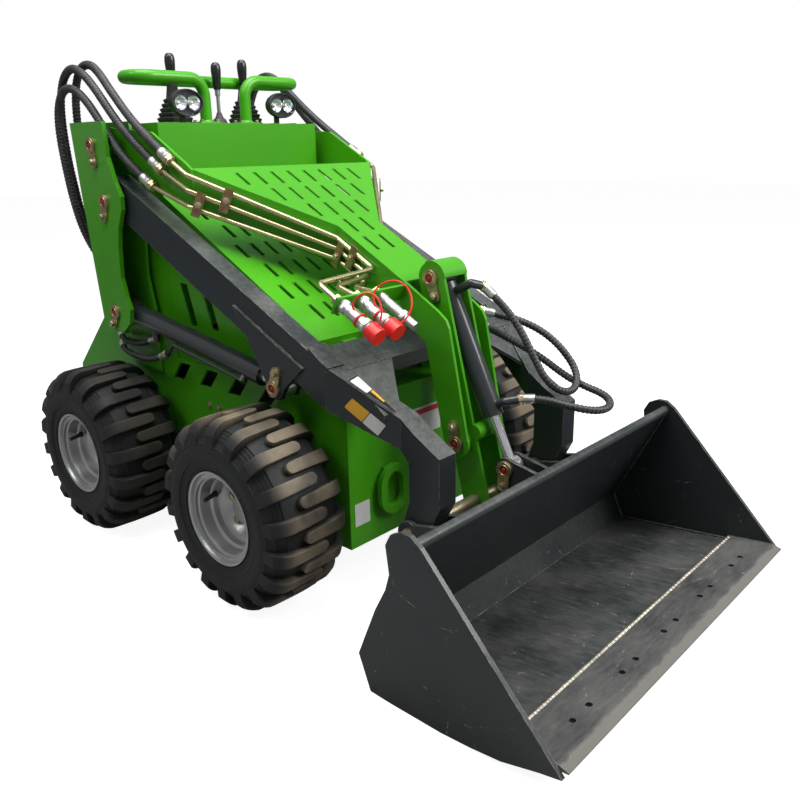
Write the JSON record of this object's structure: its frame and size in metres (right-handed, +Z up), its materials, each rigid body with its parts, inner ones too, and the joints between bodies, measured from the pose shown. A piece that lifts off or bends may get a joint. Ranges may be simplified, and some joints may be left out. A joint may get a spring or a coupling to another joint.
{
  "type": "compact wheeled skid steer loader",
  "caption": "Compact stand-on skid steer loader, green and black, with four lugged tyres, parallel lift arms, a levelling link, hydraulic cylinders and a steel bucket",
  "frame": {"origin": "middle of the footprint, on the floor", "axes": "-Y forward (bucket end), +X the machine's left, +Z up"},
  "size_m": [1.05, 1.948, 1.275],
  "materials": {
    "black_plastic": "matt black",
    "body_green": "satin enamel paint with worn edges",
    "bronze_fitting": "dull zinc and bronze fittings",
    "cap_red": "red plastic cap",
    "chrome_rod": "hard chrome",
    "dark_frame": "satin black paint",
    "engine_iron": "plain grey block",
    "hose_black": "black hose with a spiral guard",
    "lens_glass": "clear lens",
    "rim_silver": "silver paint",
    "tyre_rubber": "matt black rubber",
    "worn_steel": "black paint worn to bare steel inside and on the edge",
    "yellow_zinc": "yellow zinc plating"
  },
  "bodies": {
    "chassis": {"aux_hose_inner": "hose_black", "aux_hose_middle": "hose_black", "aux_hose_outer": "hose_black", "axle_hubs": "dark_frame", "chassis_frame": "body_green", "console": "body_green", "control_levers": "black_plastic", "deck_ports": "yellow_zinc", "engine_block": "engine_iron", "engine_hood": "body_green", "handlebar": "body_green", "lamp_housings": "black_plastic", "lamp_lenses": "lens_glass", "lever_boots": "black_plastic", "lift_hose_front_left": "hose_black", "lift_hose_front_right": "hose_black", "lift_hose_rear_left": "hose_black", "lift_hose_rear_right": "hose_black", "rear_step": "body_green", "side_ports": "yellow_zinc", "supply_hose_inner": "hose_black", "supply_hose_middle": "hose_black", "tow_loop": "body_green", "tower_left": "body_green", "tower_pins": "yellow_zinc", "tower_right": "body_green"},
    "wheel_front_left": {"tyre_front_left": "tyre_rubber", "rim_front_left": "rim_silver"},
    "wheel_front_right": {"tyre_front_right": "tyre_rubber", "rim_front_right": "rim_silver"},
    "wheel_rear_left": {"tyre_rear_left": "tyre_rubber", "rim_rear_left": "rim_silver"},
    "wheel_rear_right": {"tyre_rear_right": "tyre_rubber", "rim_rear_right": "rim_silver"},
    "lift_arms": {"arm_left": "dark_frame", "arm_right": "dark_frame", "arm_cross_member": "dark_frame", "attach_shaft": "yellow_zinc", "lift_eye_pins": "yellow_zinc"},
    "levelling": {"tilt_hose_upper": "hose_black", "tilt_hose_lower": "hose_black", "levelling_link": "body_green", "link_nose_pin": "yellow_zinc", "link_pipes": "yellow_zinc", "quick_couplers": "bronze_fitting", "coupler_caps": "cap_red"},
    "tilt_bracket": {"bracket": "body_green", "bracket_top_pin": "yellow_zinc"},
    "bucket_group": {"quick_attach": "dark_frame", "tilt_eye_pins": "yellow_zinc", "bucket": "worn_steel", "cutting_edge": "worn_steel"},
    "tilt_cylinder": {"tilt_barrel": "dark_frame"},
    "tilt_piston": {"tilt_rod": "chrome_rod"},
    "lift_cylinder_left": {"lift_barrel_left": "dark_frame"},
    "lift_cylinder_right": {"lift_barrel_right": "dark_frame"},
    "lift_piston_left": {"lift_rod_left": "chrome_rod"},
    "lift_piston_right": {"lift_rod_right": "chrome_rod"}
  },
  "joints": [
    {"name": "wheel_front_left_spin", "type": "hinge", "parent": "chassis", "child": "wheel_front_left", "pos_m": [0.4175, -0.072, 0.23], "axis": [1, 0, 0], "continuous": true},
    {"name": "wheel_front_right_spin", "type": "hinge", "parent": "chassis", "child": "wheel_front_right", "pos_m": [-0.4175, -0.072, 0.23], "axis": [1, 0, 0], "continuous": true},
    {"name": "wheel_rear_left_spin", "type": "hinge", "parent": "chassis", "child": "wheel_rear_left", "pos_m": [0.4175, 0.575, 0.23], "axis": [1, 0, 0], "continuous": true},
    {"name": "wheel_rear_right_spin", "type": "hinge", "parent": "chassis", "child": "wheel_rear_right", "pos_m": [-0.4175, 0.575, 0.23], "axis": [1, 0, 0], "continuous": true},
    {"name": "arm_lift", "type": "hinge", "parent": "chassis", "child": "lift_arms", "pos_m": [0, 0.542, 0.898], "axis": [-1, 0, 0], "range_deg": [0, 70]},
    {"name": "link_lift", "type": "hinge", "parent": "chassis", "child": "levelling", "pos_m": [0, 0.577, 1.04], "axis": [-1, 0, 0], "range_deg": [0, 70], "deforming": ["aux_hose_inner", "aux_hose_middle", "aux_hose_outer", "supply_hose_inner", "supply_hose_middle"]},
    {"name": "bracket_level", "type": "hinge", "parent": "levelling", "child": "tilt_bracket", "pos_m": [0, -0.403, 0.362], "axis": [-1, 0, 0], "range_deg": [-70, 0], "deforming": ["tilt_hose_lower", "tilt_hose_upper"]},
    {"name": "bucket_tilt", "type": "hinge", "parent": "tilt_bracket", "child": "bucket_group", "pos_m": [0, -0.438, 0.22], "axis": [1, 0, 0], "range_deg": [-20, 60]},
    {"name": "tilt_swing", "type": "hinge", "parent": "tilt_bracket", "child": "tilt_cylinder", "pos_m": [0, -0.305, 0.733], "axis": [1, 0, 0], "range_deg": [-2, 2]},
    {"name": "tilt_stroke", "type": "slide", "parent": "tilt_cylinder", "child": "tilt_piston", "axis": [0, -0.4387, -0.8986], "range_m": [-0.04, 0.115]},
    {"name": "lift_swing_left", "type": "hinge", "parent": "chassis", "child": "lift_cylinder_left", "pos_m": [0.317, 0.554, 0.604], "axis": [-1, 0, 0], "range_deg": [0, 61], "deforming": ["lift_hose_front_left", "lift_hose_rear_left"]},
    {"name": "lift_stroke_left", "type": "slide", "parent": "lift_cylinder_left", "child": "lift_piston_left", "axis": [0, -0.9879, -0.1553], "range_m": [0, 0.312]},
    {"name": "lift_swing_right", "type": "hinge", "parent": "chassis", "child": "lift_cylinder_right", "pos_m": [-0.317, 0.554, 0.604], "axis": [-1, 0, 0], "range_deg": [0, 61], "deforming": ["lift_hose_front_right", "lift_hose_rear_right"]},
    {"name": "lift_stroke_right", "type": "slide", "parent": "lift_cylinder_right", "child": "lift_piston_right", "axis": [0, -0.9879, -0.1553], "range_m": [0, 0.312]}
  ],
  "couplings": [
    {"joint": "link_lift", "follows": "arm_lift", "ratio": 1},
    {"joint": "bracket_level", "follows": "arm_lift", "ratio": -1},
    {"joint": "tilt_swing", "follows": "bucket_tilt", "ratio": -0.0175},
    {"joint": "tilt_stroke", "follows": "bucket_tilt", "m_per_rad": 0.106},
    {"joint": "lift_swing_left", "follows": "arm_lift", "ratio": 0.8635},
    {"joint": "lift_stroke_left", "follows": "arm_lift", "m_per_rad": 0.254},
    {"joint": "lift_swing_right", "follows": "arm_lift", "ratio": 0.8635},
    {"joint": "lift_stroke_right", "follows": "arm_lift", "m_per_rad": 0.254}
  ]
}
